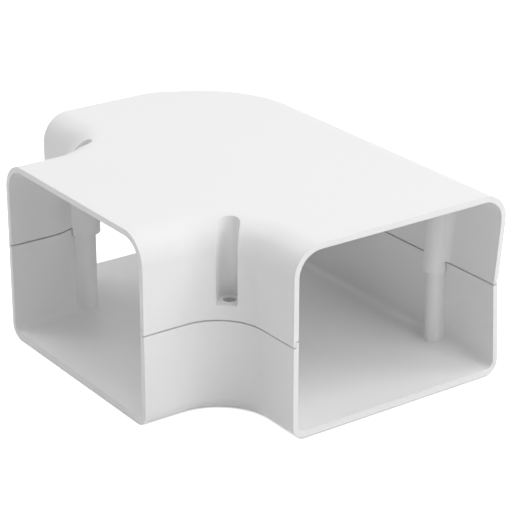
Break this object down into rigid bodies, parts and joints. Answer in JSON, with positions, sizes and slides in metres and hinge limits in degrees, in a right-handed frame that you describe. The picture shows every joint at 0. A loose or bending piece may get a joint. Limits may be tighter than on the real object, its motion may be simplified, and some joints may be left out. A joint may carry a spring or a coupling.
{
  "type": "trunking tee fitting",
  "caption": "Hollow trunking tee: a flat-backed tray and a rounded cover meet in a stepped seam, with three open mouths and a screw recess in each front corner.",
  "frame": {"origin": "on the tray's back face, which lies against the wall, where the centre lines of the run and the branch cross", "axes": "+X along the run toward its full-width mouth, -Y out of the branch mouth, +Z away from the wall"},
  "size_m": [0.1504, 0.1169, 0.0641],
  "materials": {
    "tray_plastic": "smooth white moulded plastic with a low sheen",
    "cover_plastic": "smooth white moulded plastic with a low sheen"
  },
  "bodies": {
    "root": {"tray": "tray_plastic", "cover": "cover_plastic"}
  },
  "joints": []
}
